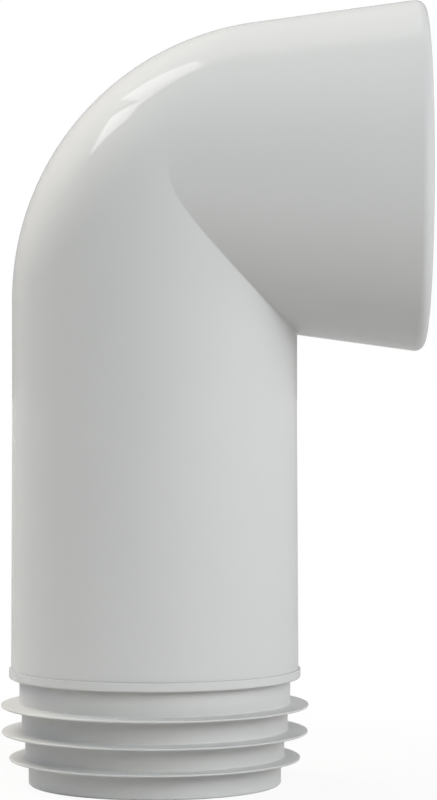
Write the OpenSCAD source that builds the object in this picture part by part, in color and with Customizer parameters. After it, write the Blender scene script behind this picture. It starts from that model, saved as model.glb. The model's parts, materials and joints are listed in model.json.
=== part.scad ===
// Right-angle connector between a pan spigot and a soil pipe.
// A moulded pipe stands on its finned outlet seal, turns a short bend and opens
// into a flared socket, which holds a lip seal for the spigot.
// Origin: centre of the outlet end. +Z runs up the pipe, +X out of the socket.
// Lengths are in millimetres and angles in degrees.

/* [Pipe] */
// Outside diameter of the pipe
pipe_d = 110; // [106:0.5:114]
// Wall thickness of the moulding
wall = 3.2; // [2.6:0.1:3.4]
// Height of the pipe's foot above the outlet end
pipe_foot = 41.3; // [38:0.1:46]
// How much the pipe's radius grows down to its foot, for draft
draft = 0.6; // [0.3:0.05:0.9]
// Length of pipe that has the draft
draft_len = 100; // [60:1:110]

/* [Foot band] */
// How far the band round the foot stands out from the pipe
band_proud = 0.8; // [0.4:0.1:1.6]
// Height of the band
band_h = 3.5; // [2.6:0.1:5]
// Rounding of the band's lower edge
band_round = 0.7; // [0.4:0.1:1.4]
// Width and depth of the groove in the pipe just above the band
groove = 0.3; // [0.2:0.05:0.5]

/* [Bend] */
// Radius of the outermost line of the bend
bend_r = 108.1; // [96:0.1:116]

/* [Socket] */
// Height of the socket's axis above the outlet end
socket_z = 234.9; // [215:0.1:255]
// Distance from the pipe's axis to the face of the mouth
socket_reach = 104.1; // [98:0.1:118]
// How much smaller than the pipe the socket's cone is where the two axes cross
socket_step = 1.2; // [0.6:0.1:2]
// Angle between the socket's skin and its axis
socket_taper = 7.8; // [6:0.1:10]
// Rounding of the mouth's outer edge
rim_round = 3.8; // [3.6:0.1:5.5]
// How far the mouth's lip turns in from the skin
rim_turn = 7.4; // [6.4:0.1:8.4]

/* [Inlet seal] */
// Bore of the lips, for pan spigots a little larger than this
lip_bore_d = 96; // [92:0.5:100]
// Length of the seal's carrier along the socket wall
carrier_len = 24; // [21:0.5:28]
// Thickness of the carrier
carrier_t = 2.4; // [2:0.1:3]
// Number of lips
lip_count = 2; // [1:1:2]
// Distance from one lip to the next
lip_pitch = 9; // [7:0.5:10]
// Thickness of a lip at its tip
lip_t = 1.5; // [1.2:0.1:2]
// Thickness of a lip at its root
lip_root_t = 2.4; // [2:0.1:3]
// How far a lip leans back from its root to its tip
lip_lean = 7; // [5:0.5:9]
// Distance from the carrier's front to the first lip
lip_set = 1; // [0.4:0.1:2]
// Height of the rib that backs the carrier
stop_rib = 1.6; // [1:0.1:2.2]
// Length over which that rib ramps down into the socket
rib_ramp = 5; // [3:0.5:8]

/* [Outlet seal] */
// Wall thickness of the sleeve
sleeve_t = 2.5; // [2.2:0.1:3]
// Length of sleeve held inside the pipe
sleeve_grip = 24.5; // [16:0.5:32]
// Thickness of the sleeve's top edge
sleeve_edge = 0.8; // [0.5:0.1:1.2]
// Length over which the sleeve thins out to that edge
feather = 9; // [6:0.5:12]
// How much the radius drops below the first fin
step_1 = 0.94; // [0.4:0.02:1.4]
// How much the radius drops below the second fin
step_2 = 1.3; // [0.8:0.02:1.8]
// How much the radius drops below the third fin
step_3 = 1.3; // [0.8:0.02:1.8]
// Rounding of the outlet end's outer edge
hem_round = 1; // [0.6:0.1:1.2]
// Radius of the snap bead that holds the sleeve in the pipe
bead_r = 1.2; // [0.8:0.1:1.4]

/* [Fins] */
// Diameter of the first fin
fin_1_d = 119; // [116:0.2:122]
// Diameter of the second fin
fin_2_d = 118.4; // [115:0.2:122]
// Diameter of the third fin
fin_3_d = 112.6; // [110:0.2:116]
// Height of the lowest fin's rim above the outlet end
fin_foot = 10.15; // [8:0.05:11]
// Distance from one fin to the next
fin_pitch = 10.24; // [9:0.02:10.4]
// Thickness of a fin at its root
fin_root_t = 1.8; // [1.4:0.1:2.4]
// Thickness of a fin at its rim
fin_rim_t = 0.8; // [0.6:0.05:1.2]

/* [Hidden] */
$fn = 120;

// How far one shape runs into another so that the two join
bite = 0.6;

pipe_r = pipe_d / 2;
foot_r = pipe_r + draft;
band_r = foot_r + band_proud;
bore_r = pipe_r - wall;
seat_r = foot_r - wall;
seat_top = pipe_foot + sleeve_grip;
bead_z = pipe_foot + band_h / 2;

// The socket's skin is a cone whose radius grows by `flare` per millimetre of X
flare = tan(socket_taper);
root_r = pipe_r - socket_step;
wall_across = wall / cos(socket_taper);
function skin_r(x) = root_r + flare * x;
function bore_at(x) = skin_r(x) - wall_across;

// Rounded rim: its circle touches both the skin and the face of the mouth
rim_x = socket_reach - rim_round;
rim_c = skin_r(rim_x) - rim_round / cos(socket_taper);
rim_start = rim_x - rim_round * sin(socket_taper);
lip_back = socket_reach - wall;
mouth_r = skin_r(socket_reach) - rim_turn;
corner_round = rim_round - wall;

// Carrier of the inlet seal, which lies along the socket wall behind the lip
carrier_back = lip_back - carrier_len;
function carrier_bore(x) = bore_at(x) - carrier_t / cos(socket_taper);

// Outlet seal: radius of the sleeve above each fin and below the last, and the fins
sleeve_r = [
    seat_r, seat_r - step_1, seat_r - step_1 - step_2, seat_r - step_1 - step_2 - step_3
];
fin_r = [fin_1_d / 2, fin_2_d / 2, fin_3_d / 2];
fin_z = [fin_foot + 2 * fin_pitch, fin_foot + fin_pitch, fin_foot];

// The bend's skin starts below the crotch and ends past the pipe's side
crotch_z = socket_z - skin_r(pipe_r);
bend_lead = 4;
bend_foot = crotch_z - bend_lead;
bend_end = pipe_r + bend_lead;

// Centre of the outermost arc, which touches the pipe's back and the socket's top
turn = 90 - socket_taper;
arc_x = bend_r - pipe_r;
arc_z = socket_z + skin_r(arc_x) - bend_r / cos(socket_taper);

// Lines round the bend's skin, and rings along each half of it
bend_lines = 60;
bend_rings = 10;
// The skin's ends lie this far inside the walls of the pipe and socket
tuck = 0.02;
// Length of skin inside those walls
lap = 2;
// A handle of this share of the tangent makes a Bezier curve follow an arc
handle = 4 / 3 * tan(turn / 4) / tan(turn / 2);

// A skin is [pipe radius, cone radius on the pipe's axis, outermost arc radius].
// Where a line at `a` degrees round the socket meets the pipe, as a value of X
function meet_x(k, a) =
    let (q = pow(sin(a), 2), m = 1 + flare * flare * q, n = k[1] * flare * q)
    (sqrt(n * n - m * (k[1] * k[1] * q - k[0] * k[0])) - n) / m;

// Point at X on the socket's line at `a` degrees, counted from its lowest line
function socket_point(k, a, x) =
    let (r = k[1] + flare * x)
    [x, r * sin(a), socket_z - r * cos(a)];

// X of the pipe's line that carries on as the socket's line at `a`
function pipe_x(k, a) =
    let (b = abs(a), side = acos(meet_x(k, 90) / k[0]))
    b <= 90 ? meet_x(k, a) : k[0] * cos(side + (180 - side) * (b - 90) / 90);

// How full the bend is on the line at `a`: 0 along the crease, 1 on the outermost
function fullness(a) = max(0, -cos(a));

// The four Bezier points that take the line at `a` round the bend
function turn_points(k, a) =
    let (
        f = fullness(a),
        x = pipe_x(k, a),
        y = sign(a) * sqrt(k[0] * k[0] - x * x),
        top = socket_point(k, a, x)[2],
        low = f > 0 ? socket_z - f * (socket_z - arc_z) : top,
        out = f > 0 ? meet_x(k, 90) + f * (arc_x - k[2] * sin(socket_taper) - meet_x(k, 90)) : x
    )
    [
        [x, y, low],
        [x, y, low + handle * (top - low)],
        socket_point(k, a, out - handle * (out - x)),
        socket_point(k, a, out)
    ];

function bezier(p, t) =
    pow(1 - t, 3) * p[0] + 3 * t * pow(1 - t, 2) * p[1]
    + 3 * t * t * (1 - t) * p[2] + pow(t, 3) * p[3];

// Point at share `s` of the way from the pipe to the middle of the bend
function rise(k, p, s) =
    let (foot = bend_foot - lap, bow = norm(bezier(p, 0.5) - p[0]))
    let (d = s * (p[0][2] - foot + bow), over = d - (p[0][2] - foot))
    over <= 0 ? [p[0][0], p[0][1], foot + d] : bezier(p, 0.5 * over / bow);

// Point at share `s` of the way from the middle of the bend into the socket
function reach(k, a, p, s) =
    let (bow = norm(p[3] - bezier(p, 0.5)))
    let (d = s * (bow + bend_end + lap - p[3][0]))
    d < bow ? bezier(p, 0.5 + 0.5 * d / bow) : socket_point(k, a, p[3][0] + d - bow);

function skin_points(k) = [
    for (i = [0:bend_lines - 1])
        let (a = 360 * i / bend_lines - 180, p = turn_points(k, a))
        for (j = [0:2 * bend_rings])
            j <= bend_rings ? rise(k, p, j / bend_rings)
                            : reach(k, a, p, j / bend_rings - 1)
];

// Wall of the bend, open at both ends
module bend_shell() {
    // The lines stand furthest apart at the crotch, and the flats clear the bore there
    round_up = 1 / cos(180 / bend_lines * skin_r(pipe_r) / pipe_r);
    outer = [pipe_r - tuck, root_r - tuck, bend_r - tuck];
    inner = [(bore_r + tuck) * round_up, (bore_at(0) + tuck) * round_up, bend_r - wall + tuck];
    rings = 2 * bend_rings + 1;
    half = bend_lines * rings;
    function at(i, j) = (i % bend_lines) * rings + j;
    polyhedron(
        points = concat(skin_points(outer), skin_points(inner)),
        faces = [
            for (i = [0:bend_lines - 1]) each [
                for (j = [0:rings - 2]) each [
                    [at(i, j), at(i, j + 1), at(i + 1, j + 1)],
                    [at(i, j), at(i + 1, j + 1), at(i + 1, j)],
                    [half + at(i + 1, j + 1), half + at(i, j + 1), half + at(i, j)],
                    [half + at(i + 1, j), half + at(i + 1, j + 1), half + at(i, j)]
                ],
                for (j = [0, rings - 1]) each [
                    [at(i, j), at(i + 1, j), half + at(i + 1, j)],
                    [at(i, j), half + at(i + 1, j), half + at(i, j)]
                ]
            ]
        ],
        convexity = 6
    );
}

// Straight pipe with its foot band, the seat for the sleeve and the snap groove
module pipe() {
    band_top = pipe_foot + band_h;
    skin_at_band = foot_r - draft * (band_h - band_round) / (draft_len - band_round);
    rotate_extrude() difference() {
        union() {
            polygon([
                [0, pipe_foot + band_round], [foot_r, pipe_foot + band_round],
                [pipe_r, pipe_foot + draft_len], [pipe_r, bend_foot], [0, bend_foot]
            ]);
            translate([0, pipe_foot + band_round]) square([band_r, band_h - band_round]);
            translate([0, pipe_foot]) square([band_r - band_round, band_h]);
            translate([band_r - band_round, pipe_foot + band_round]) circle(band_round);
        }
        translate([0, seat_top - bite]) square([bore_r, bend_foot - seat_top + 2 * bite]);
        translate([0, pipe_foot - bite]) square([seat_r, sleeve_grip + bite]);
        translate([seat_r, bead_z]) circle(bead_r);
        translate([skin_at_band - groove, band_top]) square([2 * groove, groove]);
    }
}

// Half section of the hollow behind the mouth's lip, from X = `from` outwards
module pocket_outline(from) {
    corner_start = rim_x - corner_round * sin(socket_taper);
    polygon([
        [0, from], [bore_at(from), from],
        [bore_at(corner_start), corner_start], [0, corner_start]
    ]);
    translate([rim_c, rim_x]) circle(corner_round);
    translate([0, corner_start - bite]) square([rim_c, lip_back - corner_start + bite]);
}

// Half section of the rib that the inlet seal's carrier backs on to
module stop_rib_outline() {
    polygon([
        [bore_at(carrier_back) + bite, carrier_back],
        [bore_at(carrier_back) - stop_rib, carrier_back],
        [bore_at(carrier_back - rib_ramp), carrier_back - rib_ramp],
        [bore_at(carrier_back - rib_ramp) + bite, carrier_back - rib_ramp]
    ]);
}

// Flared socket with its rounded rim, the inturned lip and the rib behind the seal
module socket() {
    lip_edge = mouth_r + wall / 2;
    translate([0, 0, socket_z]) rotate([0, 90, 0]) rotate_extrude() difference() {
        union() {
            polygon([
                [0, bend_end], [skin_r(bend_end), bend_end],
                [skin_r(rim_start), rim_start], [0, rim_start]
            ]);
            translate([rim_c, rim_x]) circle(rim_round);
            translate([0, rim_start - bite]) square([rim_c, socket_reach - rim_start + bite]);
        }
        difference() {
            pocket_outline(bend_end - bite);
            stop_rib_outline();
        }
        difference() {
            translate([0, lip_back - bite]) square([lip_edge, wall + 2 * bite]);
            translate([lip_edge, socket_reach - wall / 2]) circle(wall / 2);
        }
    }
}

// The rigid moulding
module elbow_body() {
    color("white") {
        pipe();
        bend_shell();
        socket();
    }
}

// Soft ring in the socket, whose lips lean back and grip the spigot
module inlet_lip_seal() {
    color("gainsboro") translate([0, 0, socket_z]) rotate([0, 90, 0]) rotate_extrude() {
        difference() {
            pocket_outline(carrier_back);
            polygon([
                [0, carrier_back - bite], [carrier_bore(carrier_back - bite), carrier_back - bite],
                [carrier_bore(lip_back + bite), lip_back + bite], [0, lip_back + bite]
            ]);
        }
        for (i = [0:lip_count - 1]) {
            front = lip_back - lip_set - i * lip_pitch;
            polygon([
                [carrier_bore(front) + bite, front],
                [lip_bore_d / 2, front - lip_lean],
                [lip_bore_d / 2, front - lip_lean - lip_t],
                [carrier_bore(front - lip_root_t) + bite, front - lip_root_t]
            ]);
        }
    }
}

// Half section of a fin whose rim is at height `z`, on a sleeve of radius `root`
module fin_outline(z, rim, root) {
    edge = fin_rim_t / 2;
    polygon([
        [root - bite, z - fin_root_t / 2], [rim - edge, z - edge],
        [rim - edge, z + edge], [root - bite, z + fin_root_t / 2]
    ]);
    translate([rim - edge, z]) circle(edge);
}

// Soft sleeve that plugs into the pipe's foot and seals in the soil pipe
module outlet_fin_seal() {
    color("whitesmoke") rotate_extrude() {
        polygon([
            [sleeve_r[3] - sleeve_t, 0], [sleeve_r[3] - hem_round, 0],
            [sleeve_r[3] - hem_round, hem_round], [sleeve_r[3], hem_round],
            [sleeve_r[3], fin_z[2]], [sleeve_r[2], fin_z[2]],
            [sleeve_r[2], fin_z[1]], [sleeve_r[1], fin_z[1]],
            [sleeve_r[1], fin_z[0]], [seat_r, fin_z[0]],
            [seat_r, seat_top], [seat_r - sleeve_edge, seat_top],
            [seat_r - sleeve_t, seat_top - feather], [seat_r - sleeve_t, pipe_foot],
            [sleeve_r[3] - sleeve_t, fin_z[2]]
        ]);
        translate([sleeve_r[3] - hem_round, hem_round]) circle(hem_round);
        for (i = [0:2]) fin_outline(fin_z[i], fin_r[i], sleeve_r[i + 1]);
        translate([seat_r, bead_z]) circle(bead_r);
    }
}

elbow_body();
inlet_lip_seal();
outlet_fin_seal();
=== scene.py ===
# %% [markdown]
# # A right-angle soil pipe connector
#
# The object is a white plastic elbow that joins the spigot of a toilet pan to the soil pipe in the floor.
# It has three pieces: the rigid moulding, a soft ring of lips in its socket, and a soft sleeve with
# three fins that plugs into the drain. The solid model has already been packed, and it is the fixed
# frame here: it says where everything is and how large it may be.

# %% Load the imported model
import json
import math

import bpy
import numpy as np
from mathutils import Euler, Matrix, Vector


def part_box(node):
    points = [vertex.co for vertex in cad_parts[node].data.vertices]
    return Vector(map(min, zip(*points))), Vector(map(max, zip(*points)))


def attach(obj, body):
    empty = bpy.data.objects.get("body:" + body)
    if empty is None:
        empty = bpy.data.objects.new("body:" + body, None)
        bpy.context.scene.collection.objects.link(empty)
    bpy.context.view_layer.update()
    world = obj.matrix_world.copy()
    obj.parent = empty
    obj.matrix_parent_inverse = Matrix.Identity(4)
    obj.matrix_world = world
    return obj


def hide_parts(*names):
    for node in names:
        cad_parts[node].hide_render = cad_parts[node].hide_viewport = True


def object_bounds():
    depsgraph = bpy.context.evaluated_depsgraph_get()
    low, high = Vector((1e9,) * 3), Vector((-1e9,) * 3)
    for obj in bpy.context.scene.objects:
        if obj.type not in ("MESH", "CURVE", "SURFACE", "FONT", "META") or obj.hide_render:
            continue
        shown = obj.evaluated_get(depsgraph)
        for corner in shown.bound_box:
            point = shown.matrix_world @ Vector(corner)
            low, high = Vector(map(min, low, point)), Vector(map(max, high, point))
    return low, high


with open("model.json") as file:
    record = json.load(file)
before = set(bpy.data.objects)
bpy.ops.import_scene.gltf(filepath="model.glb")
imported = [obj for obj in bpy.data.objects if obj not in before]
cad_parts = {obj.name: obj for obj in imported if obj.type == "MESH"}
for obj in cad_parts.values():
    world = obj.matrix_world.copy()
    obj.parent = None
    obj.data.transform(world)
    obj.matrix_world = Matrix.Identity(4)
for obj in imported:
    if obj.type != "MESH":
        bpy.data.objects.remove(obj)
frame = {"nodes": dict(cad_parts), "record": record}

cad_box = [list(corner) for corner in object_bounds()]
print("pieces in the frame:", ", ".join(sorted(frame["nodes"])))
print("size of the whole, mm:", [round(1000 * (b - a), 1) for a, b in zip(*cad_box)])

# %% [markdown]
# ## Sizes
#
# Whatever the frame can tell is read from it: the outer radii, the heights and the face of the mouth.
# The rest are the sizes that a moulder would put on the drawing, such as walls, tapers and roundings.
# Everything is in metres, so each drawing size in millimetres is multiplied by `MM`.

# %% Sizes
MM = 0.001

body_low, body_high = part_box("elbow_body")
lips_low, lips_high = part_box("inlet_lip_seal")
fins_low, fins_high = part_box("outlet_fin_seal")
mounts = {mount["name"]: mount for mount in frame["record"]["mounts"]}

pipe_r = 55 * MM
wall = 3.2 * MM
draft = 0.6 * MM
draft_len = 100 * MM
pipe_foot = body_low.z
band_r = -body_low.x
band_h = 3.5 * MM
band_round = 0.7 * MM
groove = 0.12 * MM  # the fine line above the band
bend_r = 108.1 * MM
taper = math.radians(7.8)
rim_round = 3.8 * MM
rim_turn = 7.4 * MM
stop_rib = 1.6 * MM
rib_ramp = 5 * MM

socket_z = mounts["pan_inlet"]["pos_m"][2]
mouth_x = body_high.x
lip_back = lips_high.x
carrier_back = lips_low.x
seat_top = fins_high.z
foot_r = pipe_r + draft
seat_r = foot_r - wall
bore_r = pipe_r - wall

flare = math.tan(taper)
wall_across = wall / math.cos(taper)
rim_x = mouth_x - rim_round
root_r = body_high.y - rim_round + rim_round / math.cos(taper) - flare * rim_x
mouth_r = root_r + flare * mouth_x - rim_turn


def skin_r(x):
    """Radius of the socket's outer skin: a cone that grows by `flare` along X."""
    return root_r + flare * x


def bore_at(x):
    """Radius of the socket's inner skin, one wall inside the outer one."""
    return skin_r(x) - wall_across


crotch_z = socket_z - skin_r(pipe_r)
bend_lead = 4 * MM
bend_foot = crotch_z - bend_lead
bend_end = pipe_r + bend_lead
print(f"socket axis at {socket_z / MM:.1f} mm, its cone starts from radius {root_r / MM:.2f} mm")
print(f"crotch at {crotch_z / MM:.1f} mm, mouth opening {2 * mouth_r / MM:.1f} mm across")

# %% [markdown]
# ## From a grid of points to a mesh
#
# All three pieces are closed skins, like a tyre: go round them one way and you come back to where you
# started, and the same the other way. So one grid of points covers a whole piece, with its first and
# last rows joined. There are no poles and no seams, and the shading is smooth all over. Cutting and
# joining solids would be another way to make them, but it leaves long thin triangles which show as
# streaks in a glossy finish.

# %% A grid that closes on itself
LINES = 288  # lines that run along a piece, spread all the way round it


def closed_mesh(name, rings):
    """Mesh of points (ring, line, 3): each point joins the next on its ring and the same one on the
    next ring, and the last ring and line join the first. Faces look to the left of the line's way."""
    count, lines = rings.shape[:2]
    ring, line = np.meshgrid(np.arange(count), np.arange(lines), indexing="ij")
    square = [(0, 0), (0, 1), (1, 1), (1, 0)]
    corners = [(ring + i) % count * lines + (line + j) % lines for i, j in square]
    faces = np.stack(corners, -1).reshape(-1, 4)
    mesh = bpy.data.meshes.new(name)
    mesh.vertices.add(count * lines)
    mesh.vertices.foreach_set("co", rings.astype(np.float32).ravel())
    mesh.loops.add(faces.size)
    mesh.loops.foreach_set("vertex_index", faces.astype(np.int32).ravel())
    mesh.polygons.add(len(faces))
    mesh.polygons.foreach_set("loop_start", np.arange(0, faces.size, 4, dtype=np.int32))
    mesh.update(calc_edges=True)
    mesh.validate()
    piece = bpy.data.objects.new(name, mesh)
    bpy.context.scene.collection.objects.link(piece)
    print(f"{name}: {count} rings of {lines} points, {2 * len(faces)} triangles")
    return piece


# %% [markdown]
# ## Outlines with rounded corners
#
# A moulding has no knife edges: each corner of its section is an arc that touches both sides. A corner
# is written as (distance from the axis, distance along it, radius). The arc's centre lies on the line
# that halves the corner's angle. A point is added just before and just after each arc, so that the
# flats beside it stay flat in the shading.

# %% Rounded outline
ARC_STEP = math.radians(9)
TINY = 0.3 * MM  # arcs up to this radius are made in coarser steps
TINY_STEP = math.radians(30)
HOLD = 0.25 * MM  # how far beside an arc the extra point lies
SHARP = 0.1 * MM  # rounding of an edge that is meant to be sharp
HALF = 0.48  # share of a wall's thickness that rounds its edge, just short of where two arcs would meet


def rounded(corners):
    """Points of the open outline through `corners`, rows of (across, along, radius). With unit vectors
    u and v to the neighbours and angle w between them, the arc starts radius / tan(w/2) along u, ends
    as far along v, and its centre is radius / sin(w/2) along u + v."""
    place = np.array([corner[:2] for corner in corners], float)
    size = np.array([corner[2] for corner in corners], float)
    back, ahead = place[:-2] - place[1:-1], place[2:] - place[1:-1]
    u = back / np.linalg.norm(back, axis=1, keepdims=True)
    v = ahead / np.linalg.norm(ahead, axis=1, keepdims=True)
    angle = np.arccos(np.clip((u * v).sum(1), -1, 1))
    reach = np.concatenate([[0], size[1:-1] / np.tan(angle / 2), [0]])
    free = np.linalg.norm(np.diff(place, axis=0), axis=1) - reach[:-1] - reach[1:]
    hold = np.minimum(HOLD, np.maximum(free, 0) / 4)
    points = [place[:1]]
    for i in range(len(u)):
        corner, r, near = place[i + 1], size[i + 1], reach[i + 1]
        if r == 0:
            points.append(corner[None])
            continue
        centre = corner + (u[i] + v[i]) / np.linalg.norm(u[i] + v[i]) * r / math.sin(angle[i] / 2)
        start, end = corner + u[i] * near, corner + v[i] * near
        swing = math.pi - angle[i]
        step = ARC_STEP if r > TINY else TINY_STEP
        t = np.linspace(0, 1, max(3, math.ceil(swing / step)) + 1)[:, None]
        arc = centre + (np.sin((1 - t) * swing) * (start - centre)
                        + np.sin(t * swing) * (end - centre)) / math.sin(swing)
        points += [(start + u[i] * hold[i])[None], arc, (end + v[i] * hold[i + 1])[None]]
    points.append(place[-1:])
    return np.concatenate(points)


# %% [markdown]
# ## Turning an outline round an axis
#
# The pipe and its seal turn round the upright axis, and the socket and its seal turn round the level
# one. Round the socket, a line's angle is counted from its lowest line, where the crotch is. The same
# lines carry on down the pipe, so the pipe's angles are not even: they follow from where each line
# crosses the fold between the two skins, as the next part works out.

# %% Turned rings
socket_angle = np.linspace(-math.pi, math.pi, LINES, endpoint=False)
even_angle = np.linspace(0, 2 * math.pi, LINES, endpoint=False)
print(f"{LINES} lines, {360 / LINES} degrees apart round the socket")


def round_pipe(outline, angle):
    """Rings of an outline (radius, height) at `angle` round the upright axis: x = r cos, y = r sin."""
    r, z = outline[:, :1], outline[:, 1:]
    return np.stack([r * np.cos(angle), r * np.sin(angle), z + 0 * angle], -1)


def round_socket(outline):
    """Rings of an outline (radius, X) round the socket's axis: y = r sin, z = axis height - r cos."""
    r, x = outline[:, :1], outline[:, 1:]
    y = r * np.sin(socket_angle)
    z = socket_z - r * np.cos(socket_angle)
    return np.stack([x + 0 * y, y, z], -1)


# %% [markdown]
# ## The bend
#
# This is the hard part of the object. Inside the elbow the pipe and the cone simply run into each
# other, and they meet in a crisp fold that rises from the crotch and fades out on the side. Outside
# the elbow there is no fold, but one wide arc, 108 mm in radius, from the pipe's back to the socket's
# top. Between the two the bend gets steadily fuller.
#
# A Boolean join would give the fold but not the arc, and a swept pipe would give the arc but not the
# fold. So each line of the grid is worked out by itself. It goes straight up the pipe, turns on a cubic
# Bezier curve, and goes straight out along the cone. `fullness` says how early the turn starts: it is
# 0 for the lines that cross the fold, and minus the cosine of the socket's angle for the rest, which
# is 1 on the outermost line. A small turn is left on every line, because a mould has no sharp fold.

# %% One skin of the bend
TURN = math.pi / 2 - taper
HANDLE = 4 / 3 * math.tan(TURN / 4) / math.tan(TURN / 2)  # makes a Bezier curve follow an arc
FOLD = 0.35 * MM  # how far before the fold a line starts to turn
RINGS = 44  # rings on each half of the bend
CROWD = 1.5  # power that crowds those rings towards the fold


def cone_points(radius_on_axis, x):
    """Points at x on the socket's lines: radius = radius on the pipe's axis + flare x."""
    r = radius_on_axis + flare * x
    return np.stack([x + 0 * r, r * np.sin(socket_angle), socket_z - r * np.cos(socket_angle)], -1)


def bezier(p, t):
    """Cubic Bezier curve through four rows of points, at one share t for each line."""
    t = t[:, None]
    return (1 - t) ** 3 * p[0] + 3 * t * (1 - t) ** 2 * p[1] + 3 * t * t * (1 - t) * p[2] + t ** 3 * p[3]


def bend_skin(r, cone, arc):
    """Rings of a skin with pipe radius r, cone radius `cone` on the pipe's axis and outermost arc
    radius `arc`, and each line's angle round the pipe. A line of the cone at angle a is inside the
    pipe until x solves x^2 + ((cone + flare x) sin a)^2 = r^2."""
    a, b = socket_angle, np.abs(socket_angle)
    q = np.sin(a) ** 2
    q_side = np.where(b < math.pi / 2, q, 1)
    m, n = 1 + flare ** 2 * q_side, cone * flare * q_side
    meet = (np.sqrt(n ** 2 - m * (cone ** 2 * q_side - r ** 2)) - n) / m
    side = np.arccos(meet / r)
    past = (b - math.pi / 2) / (math.pi / 2)
    pipe_angle = np.where(past < 0, side, side + (math.pi - side) * past)
    x = r * np.cos(pipe_angle)
    y = np.sign(a) * r * np.sin(pipe_angle)

    fullness = np.maximum(0, -np.cos(a))
    top = socket_z - (cone + flare * x) * np.cos(a)
    arc_x = arc - r
    arc_z = socket_z + cone + flare * arc_x - arc / math.cos(taper)
    low = np.where(fullness > 0, socket_z - fullness * (socket_z - arc_z), top)
    out = np.where(fullness > 0, meet + fullness * (arc_x - arc * math.sin(taper) - meet), x)
    low = top - np.hypot(top - low, FOLD)
    out = x + np.hypot(out - x, FOLD)
    p = [
        np.stack([x, y, low], -1),
        np.stack([x, y, low + HANDLE * (top - low)], -1),
        cone_points(cone, out - HANDLE * (out - x)),
        cone_points(cone, out),
    ]

    share = np.linspace(1, 0, RINGS, endpoint=False)[:, None] ** CROWD
    middle = bezier(p, np.full(LINES, 0.5))
    rise = np.linalg.norm(middle - p[0], axis=1)
    run = np.linalg.norm(p[3] - middle, axis=1)
    down = share * (low - bend_foot + rise)
    along = share[::-1] * (run + bend_end - out)
    before = [np.where((d < rise)[:, None], bezier(p, 0.5 - 0.5 * np.minimum(d / rise, 1)),
                       np.stack([x, y, low - (d - rise)], -1)) for d in down]
    after = [np.where((d < run)[:, None], bezier(p, 0.5 + 0.5 * np.minimum(d / run, 1)),
                      cone_points(cone, out + d - run)) for d in along]
    return np.stack([*before, middle, *after]), np.sign(a) * pipe_angle


outer_bend, outer_angle = bend_skin(pipe_r, root_r, bend_r)
inner_bend, inner_angle = bend_skin(bore_r, bore_at(0), bend_r - wall)
print(f"bend: {len(outer_bend)} rings a skin, outermost point {outer_bend[..., 2].max() / MM:.1f} mm up")

# %% [markdown]
# ## The moulding
#
# The rest of the moulding is turned. Its outline starts at the inner edge of the foot, goes round the
# low band and up the draughted pipe, then through the bend, along the socket to its rounded rim, and
# back through the inside: the inturned lip, the pocket for the seal, the rib that backs the seal, the
# inner bend, and the seat of the lower sleeve. The last ring joins the first, so the wall has its real
# thickness everywhere and the inside can be looked into.

# %% The moulding's outlines
band_top = pipe_foot + band_h
bead_r = 1.2 * MM
bead_z = pipe_foot + band_h / 2
draft_top = pipe_foot + draft_len
wall_at_band = foot_r + (pipe_r - foot_r) * (band_h - band_round) / (draft_len - band_round)

groove_foot, groove_edge = 0.06 * MM, 0.08 * MM
foot_outline = rounded([
    (seat_r, pipe_foot, 0),
    (band_r, pipe_foot, band_round),
    (band_r, band_top, SHARP),
    (wall_at_band - groove, band_top, groove_foot),
    (wall_at_band - groove, band_top + groove, groove_foot),
    (wall_at_band, band_top + groove, groove_edge),
    (pipe_r, draft_top, 0),
    (pipe_r, bend_foot - HOLD, 0),
])
lip_round = HALF * wall
rib_foot, rib_edge, rib_blend = 0.3 * MM, 0.4 * MM, 2 * MM
socket_outline = rounded([
    (skin_r(bend_end + HOLD), bend_end + HOLD, 0),
    (skin_r(mouth_x), mouth_x, rim_round),
    (mouth_r, mouth_x, lip_round),
    (mouth_r, lip_back, lip_round),
    (bore_at(lip_back), lip_back, rim_round - wall),
    (bore_at(carrier_back), carrier_back, rib_foot),
    (bore_at(carrier_back) - stop_rib, carrier_back, rib_edge),
    (bore_at(carrier_back - rib_ramp), carrier_back - rib_ramp, rib_blend),
    (bore_at(bend_end + HOLD), bend_end + HOLD, 0),
])
seat_corner, bead_blend, bead_nose = 0.15 * MM, 0.2 * MM, 0.8 * MM
last_gap = 0.1 * MM  # what is left between the last ring and the first, which closes the grid
seat_outline = rounded([
    (bore_r, bend_foot - HOLD, 0),
    (bore_r, seat_top, seat_corner),
    (seat_r, seat_top, seat_corner),
    (seat_r, bead_z + bead_r, bead_blend),
    (seat_r + bead_r, bead_z, bead_nose),
    (seat_r, bead_z - bead_r, SHARP),
    (seat_r, pipe_foot + last_gap, 0),
])

# %% The moulding's mesh
moulding = closed_mesh("elbow_moulding", np.concatenate([
    round_pipe(foot_outline, outer_angle),
    outer_bend,
    round_socket(socket_outline),
    inner_bend[::-1],
    round_pipe(seat_outline, inner_angle),
]))
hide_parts("elbow_body")
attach(moulding, "root")

# %% [markdown]
# ## The lip seal in the socket
#
# A soft ring lies in the pocket behind the inturned lip. Two lips lean back from it, away from the
# mouth, so that a spigot pushes them open as it goes in and cannot easily be pulled out again. It is
# one outline turned round the socket's axis: along the pocket's wall to the front, then back along
# the lips, with round tips and a fillet where each lip grows out of the ring.

# %% The lip seal
carrier_t = 2.4 * MM
lip_r = mounts["pan_inlet"]["dims"]["r_mm"] * MM
lip_set = 1 * MM
lip_pitch = 9 * MM
lip_lean = 7 * MM
lip_t = 1.5 * MM
lip_root_t = 2.4 * MM
tip_round = 0.5 * MM
root_fillet = 1.2 * MM
carrier_edge, carrier_heel = 0.3 * MM, 0.4 * MM


def carrier_bore(x):
    """Inner radius of the ring that carries the lips."""
    return bore_at(x) - carrier_t / math.cos(taper)


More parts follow.
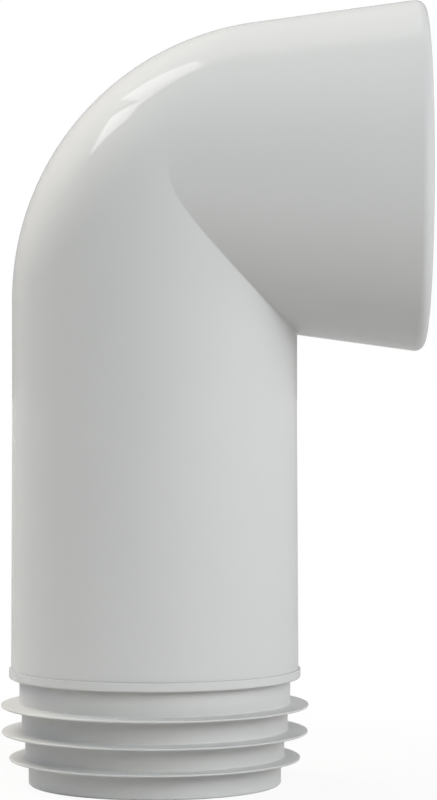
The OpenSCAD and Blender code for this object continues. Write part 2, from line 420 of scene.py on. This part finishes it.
def lip_corners(front):
    """Corners of one lip whose root starts at x = front: out to the tip, round it and back."""
    return [
        (carrier_bore(front), front, tip_round),
        (lip_r, front - lip_lean, tip_round),
        (lip_r, front - lip_lean - lip_t, tip_round),
        (carrier_bore(front - lip_root_t), front - lip_root_t, root_fillet),
    ]


first_lip = lip_back - lip_set
lip_seal = closed_mesh("lip_seal", round_socket(rounded([
    (bore_at(carrier_back), carrier_back, 0),
    (bore_at(lip_back), lip_back, rim_round - wall),
    (carrier_bore(lip_back), lip_back, carrier_edge),
    *lip_corners(first_lip),
    *lip_corners(first_lip - lip_pitch),
    (carrier_bore(carrier_back), carrier_back, carrier_heel),
    (bore_at(carrier_back) - last_gap, carrier_back, 0),
])))
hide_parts("inlet_lip_seal")
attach(lip_seal, "root")

# %% [markdown]
# ## The finned sleeve
#
# The sleeve plugs into the pipe's foot, held by a snap bead under the band, and hangs below it with
# three thin fins. Each fin is a flat disc that bends up when it is pushed into the drain. The sleeve
# is a little narrower below each fin than above it, which is why the seal looks stepped.

# %% The finned sleeve
sleeve_t = 2.5 * MM
sleeve_edge, sleeve_round = 0.8 * MM, 0.3 * MM
feather = 9 * MM  # length over which the sleeve's upper edge thins
ease = 4 * MM  # rounding of the gentle corners in its bore
hem_round, hem_gap = 1 * MM, 0.3 * MM
steps = np.array([0, 0.94, 1.3, 1.3]) * MM
sleeve_r = seat_r - np.cumsum(steps)
fin_foot = 10.15 * MM
fin_pitch = 10.24 * MM
fin_root_t = 1.8 * MM
fin_rim_t = 0.8 * MM
fin_fillet = 0.5 * MM
fin_r = -fins_low.x - np.array([0, 0.3, 3.2]) * MM


def fin_corners(i):
    """Corners of fin i, counted from the top: out under it, round its thin rim and back over it."""
    z = fin_foot + (2 - i) * fin_pitch
    fin_edge = HALF * fin_rim_t
    return [
        (sleeve_r[i + 1], z - fin_root_t / 2, fin_fillet),
        (fin_r[i], z - fin_rim_t / 2, fin_edge),
        (fin_r[i], z + fin_rim_t / 2, fin_edge),
        (sleeve_r[i], z + fin_root_t / 2, fin_fillet),
    ]


sleeve_bore = sleeve_r[3] - sleeve_t
fin_seal = closed_mesh("finned_sleeve", round_pipe(rounded([
    (sleeve_bore, 0, 0),
    (sleeve_r[3], 0, hem_round),
    *fin_corners(2),
    *fin_corners(1),
    *fin_corners(0),
    (seat_r, bead_z - bead_r, SHARP),
    (seat_r + bead_r, bead_z, bead_nose),
    (seat_r, bead_z + bead_r, bead_blend),
    (seat_r, seat_top, SHARP),
    (seat_r - sleeve_edge, seat_top, sleeve_round),
    (seat_r - sleeve_t, seat_top - feather, ease),
    (seat_r - sleeve_t, pipe_foot, ease),
    (sleeve_bore, fin_foot, ease),
    (sleeve_bore, hem_gap, 0),
]), even_angle))
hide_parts("outlet_fin_seal")
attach(fin_seal, "root")

# %% [markdown]
# ## Shader maths in plain Python
#
# A material is a graph of nodes. To read it as sums, one class wraps a node's output and turns the
# signs + - * into Math nodes. Any other node comes from its `node` method.

# %% Graph of shader nodes
class Signal:
    """One output of a shader node. Python's signs on it add Math nodes to the same graph."""

    def __init__(self, tree, socket=None):
        self.tree = tree
        self.socket = socket

    def node(self, kind, settings=None, inputs=None, output=0):
        """Adds a node: its settings first, then its inputs, each a value or another signal."""
        made = self.tree.nodes.new("ShaderNode" + kind)
        for key, value in (settings or {}).items():
            setattr(made, key, value)
        for key, value in (inputs or {}).items():
            if isinstance(value, Signal):
                self.tree.links.new(value.socket, made.inputs[key])
            else:
                made.inputs[key].default_value = value
        return Signal(self.tree, made.outputs[output] if len(made.outputs) else None)

    def maths(self, operation, *values):
        return self.node("Math", {"operation": operation}, dict(enumerate(values)))

    def __add__(self, other):
        return self.maths("ADD", self, other)

    __radd__ = __add__

    def __sub__(self, other):
        return self.maths("SUBTRACT", self, other)

    def __rsub__(self, other):
        return self.maths("SUBTRACT", other, self)

    def __mul__(self, other):
        return self.maths("MULTIPLY", self, other)

    __rmul__ = __mul__


def new_material(name):
    """An empty node material and the signal that its graph starts from."""
    material = bpy.data.materials.new(name)
    material.use_nodes = True
    material.node_tree.nodes.clear()
    return material, Signal(material.node_tree)


def noise(start, size, detail):
    """Noise with features of about `size` metres, from 0 to 1, fixed to the object."""
    place = start.node("TexCoord", output="Object")
    return start.node("TexNoise", {"noise_dimensions": "3D"}, {
        "Vector": place, "Scale": 1 / size, "Detail": detail, "Roughness": 0.5,
    })


# %% [markdown]
# ## White polypropylene
#
# The moulding is glossy polypropylene, white with a touch of cold grey. Up close it isn't even: the
# steel of the mould leaves a faint waviness, the gloss changes slowly from place to place, and along
# the mid-plane runs the hair-fine ridge where the two halves of the mould met. The ridge follows
# Y = 0, so it comes from the object's own Y coordinate.

# %% White polypropylene
WAVE_HEIGHT = 0.0015 * MM
GRAIN_HEIGHT = 0.0003 * MM
RIDGE_HEIGHT, RIDGE_HALF = 0.03 * MM, 0.3 * MM  # height of the ridge, and half its width


def moulded_plastic(name, colour, shade, roughness):
    """Glossy plastic whose colour drifts slowly between `colour` and `shade`."""
    material, start = new_material(name)
    slow = noise(start, 60 * MM, detail=1.0)
    cloud = noise(start, 9 * MM, detail=3.0)
    tint = start.node("Mix", {"data_type": "RGBA"},
                      {"Factor": slow, "A": (*colour, 1), "B": (*shade, 1)}, output="Result")
    gloss = roughness + 0.02 * (slow - 0.5) + 0.015 * (cloud - 0.5)
    wave = noise(start, 2.5 * MM, detail=1.0)
    grain = noise(start, 0.35 * MM, detail=2.0)
    place = start.node("TexCoord", output="Object")
    side = start.node("SeparateXYZ", None, {"Vector": place}, output="Y")
    ridge = start.node("MapRange", {"interpolation_type": "SMOOTHSTEP"}, {
        "Value": side.maths("ABSOLUTE", side), "From Min": RIDGE_HALF, "From Max": 0.0,
    })
    height = WAVE_HEIGHT * wave + GRAIN_HEIGHT * grain + RIDGE_HEIGHT * ridge
    bump = start.node("Bump", None, {"Height": height, "Strength": 1.0, "Distance": 1.0})
    shader = start.node("BsdfPrincipled", None, {
        "Base Color": tint, "Roughness": gloss, "IOR": 1.49, "Normal": bump,
    })
    start.node("OutputMaterial", None, {"Surface": shader})
    return material


# %% [markdown]
# ## Soft white elastomer
#
# Both seals are a softer, warmer white. The sleeve keeps a low sheen, and the lips are duller. Their
# skin has a fine even grain from the tool, and a bloom that dulls it in patches.

# %% Soft white elastomer
SKIN_HEIGHT = 0.006 * MM


def elastomer(name, colour, shade, roughness):
    """Soft plastic whose bloom shifts its colour from `colour` to `shade` and makes it less shiny."""
    material, start = new_material(name)
    bloom = noise(start, 14 * MM, detail=3.0)
    tint = start.node("Mix", {"data_type": "RGBA"},
                      {"Factor": bloom, "A": (*colour, 1), "B": (*shade, 1)}, output="Result")
    grain = noise(start, 0.5 * MM, detail=3.0)
    bump = start.node("Bump", None, {"Height": SKIN_HEIGHT * grain, "Strength": 1.0, "Distance": 1.0})
    shader = start.node("BsdfPrincipled", None, {
        "Base Color": tint, "Roughness": roughness + 0.1 * (bloom - 0.5), "IOR": 1.46, "Normal": bump,
    })
    start.node("OutputMaterial", None, {"Surface": shader})
    return material


moulding.data.materials.append(moulded_plastic(
    "white_polypropylene", (0.64, 0.645, 0.645), (0.62, 0.625, 0.625), 0.03))
fin_seal.data.materials.append(elastomer(
    "outlet_elastomer", (0.62, 0.624, 0.62), (0.59, 0.595, 0.59), 0.33))
lip_seal.data.materials.append(elastomer(
    "inlet_elastomer", (0.68, 0.68, 0.67), (0.65, 0.65, 0.64), 0.48))
print("materials:", ", ".join(material.name for material in bpy.data.materials))

# %% [markdown]
# ## Floor
#
# The studio is white all round, and plain white to the camera. In the object's gloss it is a softer
# white, because the walls are out of the lamps' reach. The object stands in the middle of a whiter
# patch of floor, which throws light up under its fins. Near the object the camera sees some of the
# floor's own shading, so the object keeps its shadow, and that share fades out before the floor's edge.

# %% Floor
FLOOR = 12.0  # side of the square floor
WHITE = (1, 1, 1, 1)
FLOOR_GLOSS = 0.58  # brightness of the floor in reflections
PAINT, PATCH = 0.5, 0.68  # how pale the floor is, and its middle
PATCH_IN, PATCH_OUT = 0.1, 0.17  # distances from the pipe's axis between which one turns into the other
SHADOW = 0.08  # share of the floor's own shading that the camera sees under the object
SHADOW_IN, SHADOW_OUT = 0.05, 0.3  # distances between which that share fades to nothing


def ray_kinds(start):
    """Two switches: 1 on rays that the camera sends straight or through glass, 1 on mirrored rays."""
    camera_ray = start.node("LightPath", output="Is Camera Ray")
    through_glass = start.node("LightPath", output="Is Transmission Ray")
    mirrored = start.node("LightPath", output="Is Glossy Ray")
    return camera_ray.maths("MAXIMUM", camera_ray, through_glass), mirrored


half = FLOOR / 2
corners = [(-half, -half, 0), (half, -half, 0), (half, half, 0), (-half, half, 0)]
floor_mesh = bpy.data.meshes.new("floor")
floor_mesh.from_pydata(corners, [], [(0, 1, 2, 3)])
floor = bpy.data.objects.new("floor", floor_mesh)
bpy.context.scene.collection.objects.link(floor)

paint, start = new_material("pale_floor")
seen, mirrored = ray_kinds(start)
place = start.node("TexCoord", output="Object")
away = start.node("VectorMath", {"operation": "LENGTH"}, {0: place}, output="Value")
shading = start.node("MapRange", {"interpolation_type": "SMOOTHERSTEP"}, {
    "Value": away, "From Min": SHADOW_IN, "From Max": SHADOW_OUT, "To Min": SHADOW, "To Max": 0.0,
})
pale = start.node("MapRange", {"interpolation_type": "SMOOTHSTEP"}, {
    "Value": away, "From Min": PATCH_IN, "From Max": PATCH_OUT, "To Min": PATCH, "To Max": PAINT,
})
diffuse = start.node("BsdfDiffuse", None, {"Color": pale})
brightness = seen + mirrored * FLOOR_GLOSS
glow = start.node("Emission", None, {"Color": WHITE, "Strength": brightness})
shown = seen.maths("MAXIMUM", seen, mirrored) * (1 - shading)
surface = start.node("MixShader", None, {0: shown, 1: diffuse, 2: glow})
start.node("OutputMaterial", None, {"Surface": surface})
floor_mesh.materials.append(paint)
print(f"floor: {FLOOR} m square")

# %% [markdown]
# ## World
#
# The world is white to the camera and gives no light of its own. In the gloss it is a dim even grey,
# and paler high up behind the object, where the studio's wall catches the lamps: there its strength
# grows with the upward part of the ray's direction, once the ray points backwards.

# %% World
STUDIO_GLOSS = 0.4
WALL_GLOSS = 0.9
WALL_FROM, WALL_FULL = 0.1, 0.3  # backward part of the direction where the wall begins and is full

world = bpy.data.worlds.new("studio")
world.use_nodes = True
world.node_tree.nodes.clear()
start = Signal(world.node_tree)
seen, mirrored = ray_kinds(start)
direction = start.node("TexCoord", output="Generated")
backward = start.node("SeparateXYZ", None, {"Vector": direction}, output="Y")
upward = start.node("SeparateXYZ", None, {"Vector": direction}, output="Z")
wall_there = start.node("MapRange", {"interpolation_type": "SMOOTHSTEP"}, {
    "Value": backward, "From Min": WALL_FROM, "From Max": WALL_FULL,
})
studio = STUDIO_GLOSS + WALL_GLOSS * wall_there * upward.maths("MAXIMUM", upward, 0.0)
sky = start.node("Background", None, {"Color": WHITE, "Strength": seen + mirrored * studio})
start.node("OutputWorld", None, {"Surface": sky})
bpy.context.scene.world = world
print("world: white to the camera, no light of its own")

# %% [markdown]
# ## Lamps
#
# Each lamp is a softbox that looks at the middle of the object. The large ones are matted, so they
# give light but no mirror image. The two panels high on the left are bare and turned well away from
# the object, so that each is mirrored in the bend as a slim bright sliver with pointed ends.

# %% Lamps
DISTANCE = 1.8
MATTED = (1.0, 1.0)  # width and height of a matted softbox
middle_of_object = Vector([(a + b) / 2 for a, b in zip(*cad_box)])


def softbox(name, azimuth, elevation, power, colour, size=MATTED, turn=(0, 0, 0), gloss=False):
    """Area lamp at azimuth (0 towards the camera, 90 towards +X) and elevation from the object. It
    looks at the object, then is turned by three angles round its own X, Y and Z axes."""
    az, el = math.radians(azimuth), math.radians(elevation)
    away = Vector((math.sin(az) * math.cos(el), -math.cos(az) * math.cos(el), math.sin(el)))
    turned = Euler([math.radians(angle) for angle in turn], "ZYX").to_quaternion()
    lamp = bpy.data.lights.new(name, "AREA")
    lamp.shape = "RECTANGLE"
    lamp.size, lamp.size_y = size
    lamp.energy = power
    lamp.color = colour
    holder = bpy.data.objects.new(name, lamp)
    holder.location = middle_of_object + away * DISTANCE
    holder.rotation_euler = (away.to_track_quat("Z", "Y") @ turned).to_euler()
    holder.visible_glossy = gloss
    bpy.context.scene.collection.objects.link(holder)


softbox("key", 45, 28, 11.4, (0.67, 0.78, 0.97))
softbox("front", 15, 28, 12.7, (1, 0.96, 0.83))
softbox("right_low", 75, 8, 12.1, (1, 0.96, 0.93))
softbox("right_back", 135, 8, 7.4, (1, 0.98, 0.85))
softbox("left", -75, 28, 7.6, (0.75, 0.84, 1))
softbox("left_high", -105, 55, 17.8, (1, 0.97, 0.86))
softbox("left_back", -135, 28, 18.8, (1, 0.9, 0.8))
softbox("panel_low", -102.4, 49.8, 3.9, (1, 1, 1), (0.39, 1.24), (65.7, -37, -10.5), gloss=True)
softbox("panel_high", -126.8, 64.1, 4, (1, 1, 1), (0.52, 1.54), (68, 42.2, 8.5), gloss=True)
print(f"lamps: {len(bpy.data.lights)}, {sum(lamp.energy for lamp in bpy.data.lights):.1f} W in all")

# %% [markdown]
# ## Camera
#
# A long lens from 1.3 m in front, a little above the socket's foot and tipped down by a degree and a
# half, so that the discs of the fins show as thin ellipses.

# %% Camera
LENS, SENSOR = 152.6, 36  # focal length and width of the sensor, in millimetres
STAND = (24.64 * MM, -1310.2 * MM, 180.7 * MM)
TIPPED = 1.41  # degrees below level

camera_data = bpy.data.cameras.new("camera")
camera_data.lens = LENS
camera_data.sensor_width = SENSOR
camera = bpy.data.objects.new("camera", camera_data)
camera.location = STAND
camera.rotation_euler = (math.radians(90 - TIPPED), 0, 0)
bpy.context.scene.collection.objects.link(camera)
bpy.context.scene.camera = camera
bpy.context.scene.view_settings.view_transform = "Standard"
print(f"camera: {LENS} mm lens, {-STAND[1]:.2f} m in front, tipped down {TIPPED} degrees")
